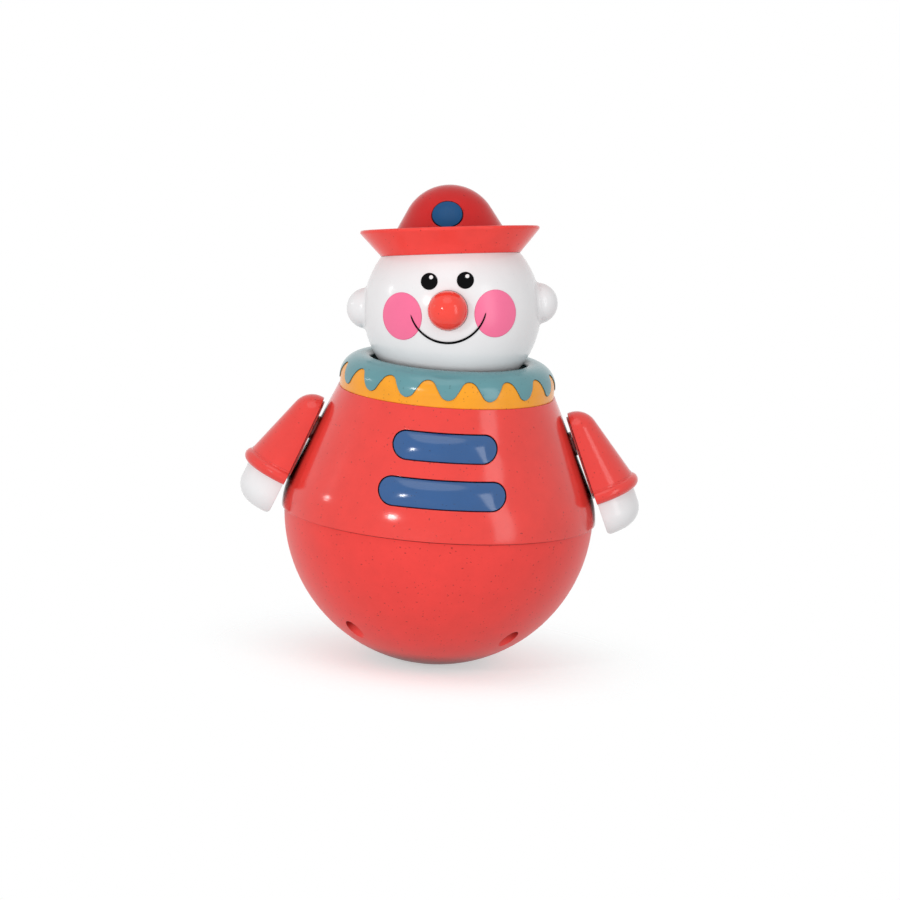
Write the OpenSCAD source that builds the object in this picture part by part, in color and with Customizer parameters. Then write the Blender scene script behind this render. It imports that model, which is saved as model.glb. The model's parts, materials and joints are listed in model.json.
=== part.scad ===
// A wobbling clown that rights itself: a weighted round bowl under a bell-shaped torso,
// a head on a ball neck that turns and rocks, and two arms that swing on slanted shoulder pivots.
// Millimetres, +Z up. The origin is the middle of the foot, and the face looks along -Y.
// Left and right are the clown's own: its left arm is on the +X side.

/* [Bowl] */
// Radius of the round bowl
bowl_r = 62; // [60:0.5:68]
// Radius of the flat spot that the toy rests on
foot_r = 8; // [5:0.5:12]
// Wall of the bowl and of the torso
shell_wall = 2.4; // [1.8:0.1:3]
// Drop of the seam below the middle of the bowl's sphere
seam_drop = 1.2; // [0.6:0.1:3]
// Radius of the circle on which the four body screws stand
screw_circle_r = 43; // [42:0.5:45]
// Bore of the wells that the body screws go up through
well_d = 7.5; // [7:0.1:8.4]
// Drop of the screw seats below the seam
seat_drop = 10; // [6:0.5:14]
// Floor of each screw well
seat_wall = 2.6; // [2:0.1:4]
// Height of the tongue that the torso drops over
tongue_h = 3; // [2:0.1:4]
// Thickness of that tongue
tongue_t = 1.8; // [1.4:0.1:2.2]

/* [Ballast] */
// Depth of the iron weight
ballast_h = 10.6; // [8:0.1:12]
// Radius of the pad that the weight sits on
ballast_pad_r = 12; // [9:0.5:13]
// Height of the pad over the inside of the bowl
ballast_pad_h = 3; // [2.4:0.1:4]
// Radius of the pin through the middle of the weight
ballast_pin_r = 4; // [3.5:0.1:5]
// Radius of the flange under the head of the ballast screw
ballast_washer_r = 8; // [7:0.5:10]
// Thickness of that flange
ballast_washer_t = 1.2; // [1:0.1:1.6]

/* [Torso] */
// How far the torso's rim stands out over the bowl
torso_lip = 1.1; // [0.4:0.1:1.6]
// Height of the torso from the seam to the collar
torso_h = 50; // [48:0.5:55]
// Radius of the torso under the collar
torso_top_r = 43.4; // [42.5:0.1:45]
// Radius of the round between the rim and the straight side
torso_round_r = 31; // [20:0.5:40]
// Groove between the torso's rim and the bowl
seam_gap = 0.35; // [0.2:0.05:0.5]
// Thickness of the ledge that carries the collar
ledge_t = 2.4; // [1.8:0.1:3]
// Radius of the columns that the body screws bite into
column_r = 4.5; // [4:0.1:5.2]

/* [Bars] */
// Height of the middle of the upper bar over the seam, as a share of the torso's height
bar_upper_share = 0.708; // [0.69:0.002:0.73]
// Height of the middle of the lower bar over the seam, as a share of the torso's height
bar_lower_share = 0.364; // [0.35:0.002:0.4]
// Length of the upper bar
bar_upper_l = 40.2; // [36:0.2:44]
// Length of the lower bar
bar_lower_l = 49.2; // [44:0.2:52]
// Height of each bar, seen from the front
bar_h = 10.2; // [9:0.1:11]
// Dark gap round each bar
bar_gap = 0.45; // [0.3:0.05:0.6]
// How far the middle of a bar stands out of the torso
bar_bulge = 1.7; // [1.2:0.1:2.4]
// Width of the flange that holds a bar from behind
bar_flange_w = 2; // [1.5:0.1:2.4]
// Thickness of that flange
bar_flange_t = 1.6; // [1.2:0.1:2]

/* [Collar] */
// Height of the collar
collar_h = 13.3; // [12.5:0.1:14.5]
// Step from the torso in to the collar
collar_step = 0.2; // [0.1:0.05:0.4]
// Least width of the collar's ring
collar_w = 12.2; // [11.8:0.1:12.8]
// Radius of the collar's rounded shoulder
collar_round_r = 9; // [8.5:0.1:9.5]
// Radius of the collar's inner lip
lip_r = 2.4; // [2.1:0.1:2.8]
// Number of waves round the collar
wave_count = 16; // [14:2:18]
// Height of the frill's lobes over the torso
wave_low = 3; // [2.4:0.1:3.4]
// Height of the band's peaks over the torso
wave_high = 10.3; // [9.8:0.1:10.7]
// Radius of the round ends of lobes and peaks
wave_round_r = 3.6; // [3:0.1:3.8]
// Thickness of the frill over the band
frill_t = 1.8; // [1.4:0.1:2]
// How far the frill stands out over the band's peaks
frill_proud = 0.35; // [0.2:0.05:0.5]
// Depth of the frill's inner skirt round the head
skirt_h = 5; // [4:0.1:6]

/* [Neck] */
// Radius of the neck's ball
ball_r = 10; // [9:0.5:11]
// Radius of the post under the ball, and of the shaft in the bearing
post_r = 6; // [5:0.25:6.5]
// Wall of the cup round the head's underside
cup_t = 2; // [1.6:0.1:2.4]
// Radius of the flange with which the neck rides on the bearing
neck_flange_r = 10.5; // [9.5:0.25:11.5]
// Thickness of that flange
neck_flange_t = 1.6; // [1.2:0.1:2]
// Wall of the bearing sleeve
bearing_wall = 3; // [2.4:0.1:4]
// Length of the bearing sleeve
bearing_h = 12; // [9:0.5:15]
// Thickness of the washer under the bearing
neck_washer_t = 1.6; // [1.2:0.1:2.4]

/* [Head] */
// Radius of the round head
head_r = 35.4; // [34:0.1:37]
// Wall of the head
head_wall = 2.2; // [1.8:0.1:2.8]
// Gap between the head and the collar
head_gap = 2; // [1.6:0.1:2.4]
// Widest hole that the head still sits in, as a share of the head's radius with its gap
seat_share = 0.83; // [0.8:0.005:0.86]
// Backward lean of the head at rest, in degrees
lean_back = 8; // [6:0.5:9]
// Sideways lean of the head at rest, in degrees
lean_side = 5.4; // [3:0.2:6]
// Turn of the head at rest, in degrees
head_turn = -3.4; // [-20:0.2:20]
// Radius of the round ears, as a share of the head's radius
ear_share = 0.232; // [0.19:0.002:0.24]
// Distance of each ear's middle from the middle of the head, as a share of the head's radius
ear_out_share = 0.958; // [0.93:0.002:0.99]
// Height of the ears over the middle of the head, as a share of the head's radius
ear_rise_share = 0.05; // [-0.06:0.005:0.08]
// Outer radius of the socket that grips the ball
socket_r = 14; // [13:0.5:16]
// Height of that socket
socket_h = 12; // [10:0.5:14]
// Thickness of the web between the socket and the head's wall
web_t = 3; // [2:0.1:4]

/* [Face] */
// Radius of the nose, as a share of the head's radius
nose_share = 0.22; // [0.2:0.002:0.24]
// How far the nose's middle lies outside the head's surface
nose_out = 0.6; // [0.2:0.1:1.5]
// Depth of the seat that the nose is let into
nose_seat = 2.8; // [2.2:0.1:3.2]
// Radius of the nose's peg
nose_peg_r = 2.4; // [2:0.1:3]
// Sideways place of each eye, as a share of the head's radius
eye_out_share = 0.2; // [0.18:0.002:0.25]
// Height of the eyes over the middle of the head, as a share of the head's radius
eye_rise_share = 0.328; // [0.32:0.002:0.35]
// Radius of each eye, as a share of the head's radius
eye_share = 0.094; // [0.074:0.002:0.1]
// Radius of the white glint in each eye, as a share of the eye's radius
glint_share = 0.24; // [0.15:0.01:0.3]
// Turn of each cheek away from the nose, in degrees
cheek_turn = 32.2; // [29:0.2:34]
// Drop of each cheek below the middle of the head, in degrees
cheek_drop = 2.8; // [1:0.2:5]
// Radius of each cheek, as a share of the head's radius
cheek_share = 0.264; // [0.22:0.002:0.27]
// Radius of the smile, as a share of the head's radius
smile_share = 0.43; // [0.4:0.005:0.48]
// Height of the smile's middle over the middle of the head, as a share of the head's radius
smile_rise_share = 0.07; // [0:0.005:0.09]
// Width of the smile's line
smile_w = 0.9; // [0.6:0.05:1.4]
// Angle from the nose's level at which the smile ends, in degrees
smile_end = 14; // [5:1:40]
// Thickness of the printed layers
print_t = 0.15; // [0.1:0.01:0.25]

/* [Hat] */
// Height of the hat's lower edge over the middle of the head, as a share of the head's radius
hat_rise_share = 0.621; // [0.6:0.002:0.64]
// Radius of the hat's lower edge, as a share of the head's radius
hat_share = 0.78; // [0.77:0.002:0.8]
// Radius of the brim's rim, as a share of the head's radius
brim_share = 1.011; // [0.96:0.005:1.06]
// Rise of the brim from the lower edge to the rim, as a share of the head's radius
brim_rise_share = 0.277; // [0.23:0.002:0.33]
// Thickness of the brim
brim_t = 1.8; // [1.4:0.1:2.2]
// Radius of the crown's dome, as a share of the head's radius
crown_share = 0.542; // [0.52:0.002:0.56]
// Height of the crown's top over the middle of the head, as a share of the head's radius
crown_top_share = 1.412; // [1.39:0.002:1.46]
// Wall of the crown
hat_wall = 2; // [1.6:0.1:2.4]
// Radius of the stem inside the crown that the hat screw bites into
hat_stem_r = 4.5; // [4:0.1:6]
// Radius of the round badge, as a share of the head's radius
badge_share = 0.167; // [0.14:0.002:0.18]
// Height of the badge's middle over the middle of the head, as a share of the head's radius
badge_rise_share = 1.071; // [1.05:0.002:1.09]
// How far the badge's domed face stands out of the crown
badge_out = 0.9; // [0.5:0.1:1.4]
// Dark gap round the badge
badge_gap = 0.4; // [0.25:0.05:0.5]
// Depth of the seat that the badge is let into
badge_seat = 2.4; // [2:0.1:3]

/* [Arms] */
// Height of the shoulder pivots over the seam, as a share of the torso's height
shoulder_share = 0.64; // [0.6:0.005:0.68]
// Gap between the torso and the arm's flat face at the pivot
shoulder_gap = 1; // [0.9:0.05:1.6]
// How much steeper the arm's flat face stands than the torso's side, in degrees
arm_splay = 2; // [1.4:0.1:2.1]
// Radius of the round boss at the shoulder
boss_r = 5; // [4.5:0.1:5.6]
// Length of the boss inside the torso
boss_in = 6; // [5:0.5:8]
// Radius of the arm's axle
axle_r = 2.6; // [2.4:0.1:3]
// Radius of the sleeve's round top
sleeve_top_r = 8.8; // [8.2:0.1:9.2]
// Height of the middle of that round top over the pivot
sleeve_top_z = 3.7; // [3:0.1:4.6]
// Distance from the pivot down to the cuff
cuff_z = 18.6; // [17:0.1:20]
// Radius of the sleeve at the cuff
cuff_r = 15.8; // [15:0.1:16.6]
// Radius of the cuff's bead
bead_r = 2.6; // [2.2:0.1:2.8]
// How far the bead stands out of the sleeve
bead_out = 1.7; // [1.2:0.1:2]
// Height of the sleeve's axis over the arm's flat face
arm_axis_v = 2; // [1.8:0.1:2.4]
// Wall of the sleeve
sleeve_wall = 4; // [3.8:0.1:4.4]
// How far the cover plate stands out of the sleeve's flat side
plate_out = 0.9; // [0.7:0.1:1.6]
// Depth of the cover plate with the step that sits inside the sleeve
plate_t = 3.2; // [2.8:0.1:3.8]
// Margin of the sleeve round that step
plate_margin = 3.2; // [2.8:0.1:3.6]
// Margin of the sleeve round the cover plate
plate_rim = 1.4; // [0.8:0.1:2]
// Gap between the cover plate's rounded end and the collar as the arm swings past it
swing_gap = 0.4; // [0.3:0.05:0.6]
// Length of the hand below the cuff
hand_l = 14.6; // [12:0.1:16]
// Radius of the hand where it leaves the cuff
hand_r = 14.7; // [13.4:0.1:14.8]
// Radius of the hand's rounded end
hand_round_r = 8.4; // [6:0.1:9]
// How far the hand's flat side lies behind the sleeve's
hand_set = 0.2; // [0.1:0.1:1.2]
// Radius of the round between the hand's flat side and its end
hand_edge_r = 2.6; // [1.6:0.1:3.2]
// Length of the hand's plug inside the sleeve
hand_plug_l = 9; // [7:0.1:11]
// Radius of the washer on the axle's end
arm_washer_r = 5; // [4.4:0.1:6]
// Thickness of that washer
arm_washer_t = 1.2; // [1:0.1:1.6]

/* [Fasteners] */
// Core diameter of the screws
screw_d = 2.6; // [2.2:0.1:2.8]
// Diameter of the screw heads
screw_head_d = 5.6; // [5:0.1:6]
// Height of the screw heads
screw_head_h = 2; // [1.6:0.1:2.4]
// Length of the body screws
body_screw_l = 14; // [10:0.5:18]
// Length of the other screws
short_screw_l = 8; // [6.5:0.1:8.4]

/* [Hidden] */
// Clearance of a screw in the part that it clamps
screw_clear = 0.3;
// Clearance of a screw's core in its pilot hole
thread_fit = 0.05;
// Clearance between fixed pieces that fit into each other
fit = 0.1;
// Clearance between the tongue and the torso
tongue_gap = 0.45;
// Clearance of pieces that turn
run_gap = 0.25;
// Clearance round the iron weight
ballast_gap = 0.8;
// Clearance of the post from the head's opening at rest
stop_gap = 0.3;
// Clearance of a printed layer from what it lies on
print_gap = 0.02;
// Overrun of cuts, and overlap of joined forms
over = 0.5;
// How far a straight side ends inside the round that it runs into
tuck = 0.002;
// How far the round of the hand's edge dips below the hand's end
edge_dip = 0.04;
// Depth and width of the cross in a screw head
cross_depth = 1.2;
cross_w = 1;
// Length of pilot holes past the tip of the screw
pilot_over = 1;
// Width of the flat at the tip of each lobe
lobe_flat = 1.6;
// Thickness and rim of the pads behind the nose and the badge
pad_t = 2;
pad_rim = 1.4;
// Depth of the pad behind the hat screw
pole_pad_t = 1.6;
// Width of the seat under the cup's rim
cup_seat_w = 3.5;
// Sphere of the badge's domed face, as a multiple of the badge's radius
badge_dome_share = 3;

red = "tomato";
white = "whitesmoke";
blue = "steelblue";
iron = "dimgray";
steel = "silver";
$fn = 96;

centre_z = sqrt(bowl_r * bowl_r - foot_r * foot_r);
seam_z = centre_z - seam_drop;
bowl_in_r = bowl_r - shell_wall;
rim_r = bowl_r + torso_lip;
round_x = rim_r - torso_round_r;
cone_a = side_lean(torso_top_r - round_x, torso_h, torso_round_r, -1);
torso_z = seam_z + torso_h;
collar_r = torso_top_r - collar_step;
collar_screw_r = collar_r - collar_round_r / 2;
cup_r = head_r + head_gap;
hole_r = min(collar_r - collar_w, seat_share * cup_r);
cup_rim_r = hole_r + cup_seat_w;
ledge_r = hole_r;
head_lift = collar_h - lip_r + sqrt(pow(cup_r + lip_r, 2) - pow(hole_r + lip_r, 2));
head_z = torso_z + head_lift;
lean = norm([lean_back, lean_side]);
neck_hole_r = head_r * sin(lean) + post_r / cos(lean) + stop_gap;
bearing_top = head_lift - cup_r - neck_flange_t;
bearing_low = bearing_top - bearing_h;
ear_r = head_r * ear_share;
ear_x = head_r * ear_out_share;
ear_z = head_r * ear_rise_share;
nose_r = head_r * nose_share;
nose_floor = head_r - nose_seat;
eye_x = head_r * eye_out_share;
eye_z = head_r * eye_rise_share;
eye_r = head_r * eye_share;
glint_r = eye_r * glint_share;
cheek_r = head_r * cheek_share;
smile_r = head_r * smile_share;
smile_z = head_r * smile_rise_share;
hat_z = head_r * hat_rise_share;
hat_r = head_r * hat_share;
brim_r = head_r * brim_share;
brim_rise = head_r * brim_rise_share;
crown_r = head_r * crown_share;
crown_top = head_r * crown_top_share;
badge_r = head_r * badge_share;
badge_z = head_r * badge_rise_share;
crown_c = crown_top - crown_r;
crown_a = side_lean(hat_r, hat_z - crown_c, crown_r, 1);
badge_side_r = hat_r - (badge_z - hat_z) * tan(crown_a);
bar_upper_z = torso_h * bar_upper_share;
bar_lower_z = torso_h * bar_lower_share;
shoulder_z = torso_h * shoulder_share;
arm_a = cone_a - arm_splay;
shoulder_x = torso_side_r(shoulder_z) + shoulder_gap / cos(arm_a);
sleeve_a = side_lean(cuff_r, -cuff_z - sleeve_top_z, sleeve_top_r, 1);
cuff_low = cuff_z + 2 * bead_r;
plate_reach = (shoulder_x - collar_r - swing_gap / cos(arm_a)) / sin(arm_a);
axle_l = boss_in + shoulder_gap;
pilot_r = screw_d / 2;
shank_r = pilot_r + screw_clear;
ballast_pad_z = ballast_pad_h - bowl_in_r;
ballast_top = ballast_pad_z + ballast_h;

// Lean of the straight side that runs from a point to touch a circle about the origin
function side_lean(dx, dz, r, way) = atan2(dz, dx) + way * acos(r / norm([dx, dz]));

// Radius of the torso's straight side at a height over the seam
function torso_side_r(z) = torso_top_r + (torso_h - z) * tan(cone_a);

module at_centre() translate([0, 0, centre_z]) children();

module at_seam() translate([0, 0, seam_z]) children();

module at_collar() translate([0, 0, torso_z]) children();

// The head's own frame: its middle, leaning and turned as it rests
module at_head() translate([0, 0, head_z]) rotate(a = lean, v = [-lean_back, -lean_side, 0])
    rotate(head_turn) children();

// An arm's own frame: x points out from the flat face and z runs up along it from the pivot
module at_arm(side) mirror([side < 0 ? 1 : 0, 0, 0])
    translate([shoulder_x, 0, seam_z + shoulder_z]) rotate([0, -arm_a, 0]) children();

module at_body_screws() for (turn = [45 : 90 : 315]) rotate(turn)
    translate([screw_circle_r, 0, 0]) children();

module at_collar_screws() for (turn = [90 : 120 : 330]) rotate(turn)
    translate([collar_screw_r, 0, 0]) children();

// A screw that points up, with the underside of its head at the origin
module screw(l) {
    difference() {
        rotate_extrude() {
            translate([0, -screw_head_h]) square([screw_head_d / 2, screw_head_h]);
            translate([0, -over]) square([pilot_r - thread_fit, l + over]);
        }
        for (turn = [0, 90]) rotate(turn) translate([0, 0, -screw_head_h])
            cube([screw_head_d - 2 * cross_w, cross_w, 2 * cross_depth], center = true);
    }
}

// A straight-sided bell under a dome, drawn in by inset
module bell_outline(dome_r, dome_z, end_r, end_z, inset) {
    lean_up = side_lean(end_r, end_z - dome_z, dome_r, 1);
    r = dome_r - inset;
    side = [0, dome_z] + (r - tuck) * [cos(lean_up), sin(lean_up)];
    polygon([[0, end_z], [end_r - inset / cos(lean_up), end_z], side, [0, side.y]]);
    intersection() {
        translate([0, dome_z]) circle(r);
        translate([0, dome_z]) square([dome_r, dome_r]);
    }
}

// The bell of the torso from the seam up, drawn in by inset
module torso_outline(inset) {
    r = torso_round_r - inset;
    side = [round_x, 0] + (r - tuck) * [cos(cone_a), sin(cone_a)];
    top_r = torso_top_r - inset / cos(cone_a);
    polygon([[0, 0], [rim_r - inset, 0], side, [top_r, torso_h], [0, torso_h]]);
    intersection() {
        translate([round_x, 0]) circle(r);
        translate([round_x, 0]) square([torso_round_r, min(torso_round_r, torso_h)]);
    }
}

// The section of the collar's ring with its rounded shoulder and lip, drawn in by inset
module collar_outline(inset) {
    shoulder = [collar_r - collar_round_r, collar_h - collar_round_r];
    lip = [hole_r + lip_r, collar_h - lip_r];
    side_x = hole_r + inset;
    translate([side_x, 0]) square([collar_r - inset - side_x, shoulder.y]);
    translate([side_x, 0]) square([shoulder.x - side_x, lip.y]);
    translate([lip.x, 0]) square([shoulder.x - lip.x, collar_h - inset]);
    intersection() {
        translate(shoulder) circle(collar_round_r - inset);
        translate([shoulder.x, shoulder.y / 2]) square([collar_round_r, collar_h]);
    }
    intersection() {
        translate(lip) circle(lip_r - inset);
        translate([hole_r, lip.y / 2]) square([lip_r, collar_h]);
    }
}

// The lying pill from which a bar and its slot are cut, grown all round
module bar_prism(l, z, grow) {
    end_x = (l - bar_h) / 2;
    translate([0, 0, z]) rotate([90, 0, 0]) linear_extrude(rim_r + over) {
        square([2 * end_x, bar_h + 2 * grow], center = true);
        for (x = [-end_x, end_x]) translate([x, 0]) circle(bar_h / 2 + grow);
    }
}

// The straight side of the torso, carried down to the seam and drawn in by inset
module side_outline(inset) {
    step = inset / cos(cone_a);
    polygon([[0, 0], [torso_side_r(0) - step, 0], [torso_top_r - step, torso_h], [0, torso_h]]);
}

module bar(l, z) {
    crest_r = (pow(bar_h / 2, 2) + pow(bar_bulge, 2)) / (2 * bar_bulge);
    reach = crest_r - bar_bulge;
    difference() {
        intersection() {
            bar_prism(l, z, 0);
            rotate_extrude()
                translate([torso_side_r(z) - reach * cos(cone_a), z - reach * sin(cone_a)])
                    circle(crest_r);
        }
        rotate_extrude() side_outline(shell_wall + bar_flange_t);
    }
    intersection() {
        bar_prism(l, z, bar_flange_w);
        rotate_extrude() difference() {
            side_outline(shell_wall + fit);
            side_outline(shell_wall + bar_flange_t);
        }
    }
}

// One opening between two lobes: the outline of a peak of the band, drawn in by inset
module peak_outline(inset) {
    half = collar_r * tan(180 / wave_count);
    low = [half, wave_low + wave_round_r];
    high = [0, wave_high - wave_round_r];
    across = low - high;
    flank_a = asin(2 * wave_round_r / norm(across)) - atan2(across.y, across.x);
    out = [sin(flank_a), cos(flank_a)];
    top = high + (wave_round_r - inset - tuck) * out;
    foot = low - (wave_round_r + inset - tuck) * out;
    edge = half - lobe_flat / 2;
    difference() {
        union() {
            translate(high) circle(wave_round_r - inset);
            polygon([[-edge, 0], [edge, 0], [edge, foot.y], foot, top, [-top.x, top.y],
                [-foot.x, foot.y], [-edge, foot.y]]);
        }
        for (side = [-1, 1]) translate([side * low.x, low.y]) circle(wave_round_r + inset);
    }
}

module peak_prisms(inset) for (k = [0 : wave_count - 1]) rotate((k + 0.5) * 360 / wave_count)
    translate([collar_r - collar_round_r + frill_t, 0, 0]) rotate([90, 0, 90])
        linear_extrude(collar_round_r) peak_outline(inset);

module bowl() color(red) at_centre() difference() {
    tube_top = -seam_drop - seat_drop;
    union() {
        rotate_extrude() {
            difference() {
                intersection() {
                    circle(bowl_r);
                    translate([0, -centre_z]) square([bowl_r, centre_z - seam_drop]);
                }
                circle(bowl_in_r);
            }
            translate([rim_r - shell_wall - tongue_gap - tongue_t, -seam_drop - tongue_h])
                square([tongue_t, 2 * tongue_h]);
            translate([0, -bowl_in_r - over]) square([ballast_pad_r, ballast_pad_h + over]);
            translate([0, -bowl_in_r]) square([ballast_pin_r, ballast_pad_h + ballast_h - over]);
        }
        intersection() {
            at_body_screws() translate([0, 0, -bowl_r])
                cylinder(d = well_d + 2 * shell_wall, h = tube_top + bowl_r);
            rotate_extrude() intersection() {
                circle(bowl_r - shell_wall / 2);
                translate([0, -bowl_r]) square([bowl_r, bowl_r]);
            }
        }
    }
    at_body_screws() {
        translate([0, 0, -bowl_r]) cylinder(d = well_d, h = tube_top - seat_wall + bowl_r);
        translate([0, 0, tube_top - seat_wall - over]) cylinder(r = shank_r, h = seat_wall + 2 * over);
    }
    translate([0, 0, ballast_top - short_screw_l - pilot_over])
        cylinder(r = pilot_r, h = short_screw_l + pilot_over);
}

module ballast() color(iron) at_centre() rotate_extrude() intersection() {
    difference() {
        circle(bowl_in_r - ballast_gap);
        translate([0, -bowl_r]) square([ballast_pin_r + run_gap, bowl_r]);
    }
    translate([0, ballast_pad_z]) square([bowl_r, ballast_h]);
}

module ballast_screw() color(steel) at_centre() translate([0, 0, ballast_top + ballast_washer_t])
    rotate([180, 0, 0]) {
        screw(short_screw_l + ballast_washer_t);
        cylinder(r = ballast_washer_r, h = ballast_washer_t);
    }

module body_screws() color(steel) at_seam() at_body_screws()
    translate([0, 0, -seat_drop - seat_wall]) screw(body_screw_l);

module torso() color(red) at_seam() difference() {
    union() {
        rotate_extrude() difference() {
            torso_outline(0);
            intersection() {
                torso_outline(shell_wall);
                square([rim_r, torso_h - ledge_t]);
            }
            square([ledge_r, torso_h]);
            square([2 * rim_r, seam_gap]);
        }
        intersection() {
            at_body_screws() translate([0, 0, -seat_drop])
                cylinder(r = column_r, h = seat_drop + torso_h);
            rotate_extrude() {
                torso_outline(shell_wall / 2);
                translate([0, -seat_drop]) square([screw_circle_r + 2 * column_r, seat_drop + over]);
            }
        }
        for (side = [-1, 1]) translate([0, 0, -seam_z]) at_arm(side)
            translate([run_gap - axle_l, 0, 0]) rotate([0, 90, 0])
                cylinder(r = boss_r, h = axle_l - 2 * run_gap);
    }
    bar_prism(bar_upper_l, bar_upper_z, bar_gap);
    bar_prism(bar_lower_l, bar_lower_z, bar_gap);
    at_body_screws() translate([0, 0, -seat_drop - over])
        cylinder(r = pilot_r, h = body_screw_l - seat_wall + pilot_over + over);
    for (side = [-1, 1]) translate([0, 0, -seam_z]) at_arm(side)
        translate([-axle_l - over, 0, 0]) rotate([0, 90, 0])
            cylinder(r = axle_r + run_gap, h = axle_l + 2 * over);
    at_collar_screws() translate([0, 0, torso_h - ledge_t - over])
        cylinder(r = shank_r, h = ledge_t + 2 * over);
}

module bar_upper() color(blue) at_seam() bar(bar_upper_l, bar_upper_z);

module bar_lower() color(blue) at_seam() bar(bar_lower_l, bar_lower_z);

module collar_band() color("orange") at_collar() difference() {
    union() {
        rotate_extrude() difference() {
            union() {
                collar_outline(frill_t + fit);
                translate([collar_screw_r, 0])
                    square([collar_r - frill_proud - collar_screw_r, wave_low - fit]);
            }
            square([cup_rim_r + fit, cup_t + fit]);
        }
        intersection() {
            rotate_extrude() collar_outline(frill_proud);
            peak_prisms(fit);
        }
    }
    at_collar_screws() translate([0, 0, -over])
        cylinder(r = pilot_r, h = short_screw_l - ledge_t + pilot_over + over);
}

module collar_frill() color("cadetblue") at_collar() difference() {
    rotate_extrude() difference() {
        collar_outline(0);
        collar_outline(frill_t);
        square([collar_r - collar_round_r, collar_h - skirt_h]);
        square([2 * collar_r, wave_low]);
    }
    peak_prisms(0);
}

module collar_screws() color(steel) at_collar() at_collar_screws()
    translate([0, 0, -ledge_t]) screw(short_screw_l);

module neck_cup() color("cadetblue") at_collar() rotate_extrude() difference() {
    union() {
        intersection() {
            translate([0, head_lift]) circle(cup_r + cup_t);
            translate([0, bearing_low]) square([hole_r, collar_h - skirt_h - bearing_low]);
        }
        translate([bearing_wall, 0]) square([cup_rim_r - bearing_wall, cup_t]);
        translate([0, bearing_low])
            square([neck_flange_r + bearing_wall, bearing_h + neck_flange_t + cup_t]);
    }
    translate([0, head_lift]) circle(cup_r);
    translate([0, bearing_top]) square([neck_flange_r + run_gap, head_lift]);
    translate([0, bearing_low - over]) square([post_r + run_gap, bearing_h + 2 * over]);
}

module neck_stud() color(white) at_collar() rotate_extrude() difference() {
    union() {
        translate([0, head_lift]) circle(ball_r);
        translate([0, bearing_low - run_gap]) square([post_r, head_lift - bearing_low]);
        translate([0, bearing_top + run_gap]) square([neck_flange_r, neck_flange_t]);
    }
    translate([-ball_r, bearing_low]) square([ball_r, 2 * head_lift]);
    translate([0, bearing_low - run_gap - over]) square([pilot_r, short_screw_l + pilot_over]);
}

module neck_washer() color(steel) at_collar() translate([0, 0, bearing_low - run_gap - neck_washer_t])
    difference() {
        cylinder(r = post_r + bearing_wall, h = neck_washer_t);
        translate([0, 0, -over]) cylinder(r = shank_r, h = neck_washer_t + 2 * over);
    }

module neck_screw() color(steel) at_collar() translate([0, 0, bearing_low - run_gap - neck_washer_t])
    screw(short_screw_l);

// Section of the hollow head with its ball socket and the pad for the hat screw
module head_section() intersection() {
    in_r = head_r - head_wall;
    difference() {
        union() {
            difference() {
                circle(head_r);
                circle(in_r);
            }
            translate([0, -web_t / 2]) square([in_r + over, web_t]);
            intersection() {
                circle(socket_r);
                translate([0, -socket_h / 2]) square([2 * socket_r, socket_h]);
            }
            translate([0, in_r - pole_pad_t]) square([screw_head_d, pole_pad_t + over]);
        }
        circle(ball_r + run_gap);
        translate([0, -2 * head_r]) square([neck_hole_r, 2 * head_r - socket_r]);
        translate([0, in_r - pole_pad_t - over]) square([shank_r, head_r]);
    }
    translate([0, -2 * head_r]) square([2 * head_r, 4 * head_r]);
}

// One half of the head with the halves of its ears, the front at -1 and the back at 1
module head_half(side) {
    rotate_extrude(start = 90 - side * 90, angle = 180) head_section();
    difference() {
        for (x = [-ear_x, ear_x]) translate([x, 0, ear_z]) rotate([-side * 90, 0, 0]) rotate_extrude()
            intersection() {
                circle(ear_r);
                square([2 * ear_r, 2 * ear_r]);
            }
        rotate([90, 0, 0]) sphere(head_r - head_wall / 2);
    }
}

// Turns a piece that points up to point out of the face
module facing() rotate([90, 0, 0]) children();

module head_front() color(white) at_head() difference() {
    union() {
        head_half(-1);
        facing() translate([0, 0, nose_floor - pad_t]) cylinder(r = nose_r + pad_rim, h = pad_t);
    }
    facing() {
        translate([0, 0, nose_floor]) cylinder(r = nose_r + fit, h = nose_r);
        translate([0, 0, nose_floor - pad_t - over]) cylinder(r = nose_peg_r + fit, h = pad_t + 2 * over);
    }
}

module head_back() color(white) at_head() head_half(1);

module nose() color(red) at_head() facing() rotate_extrude() {
    intersection() {
        translate([0, head_r + nose_out]) circle(nose_r);
        translate([0, nose_floor]) square([nose_r, 2 * nose_r]);
    }
    translate([0, nose_floor - pad_t]) square([nose_peg_r, pad_t + over]);
}

// A thin layer of paint over the head's front, raised over layers below it
module print_layer(level) intersection() {
    low = head_r + print_gap + level * (print_t + print_gap);
    difference() {
        sphere(low + print_t);
        sphere(low);
    }
    children();
}

module eye_prints() color("black") at_head() print_layer(0) facing()
    for (side = [-1, 1]) translate([side * eye_x, eye_z, 0]) cylinder(r = eye_r, h = 2 * head_r);

module eye_glints() color(white) at_head() print_layer(1) facing()
    for (side = [-1, 1]) translate([side * eye_x + glint_r, eye_z + 2 * glint_r, 0])
        cylinder(r = glint_r, h = 2 * head_r);

module cheek_prints() color("hotpink") at_head() print_layer(0)
    for (side = [-1, 1]) rotate(side * cheek_turn) rotate([cheek_drop, 0, 0]) facing()
        cylinder(r = cheek_r, h = 2 * head_r);

module smile_print() color("black") at_head() print_layer(1) facing() translate([0, smile_z, 0])
    rotate_extrude(start = 180 + smile_end, angle = 180 - 2 * smile_end)
        translate([smile_r - smile_w / 2, 0]) square([smile_w, 2 * head_r]);

// Frame of the badge: its middle on the crown's side, pointing out
module at_badge() translate([0, -badge_side_r, badge_z]) rotate([90 - crown_a, 0, 0]) children();

module crown_outline(inset) bell_outline(crown_r, crown_c, hat_r, hat_z, inset);

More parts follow.
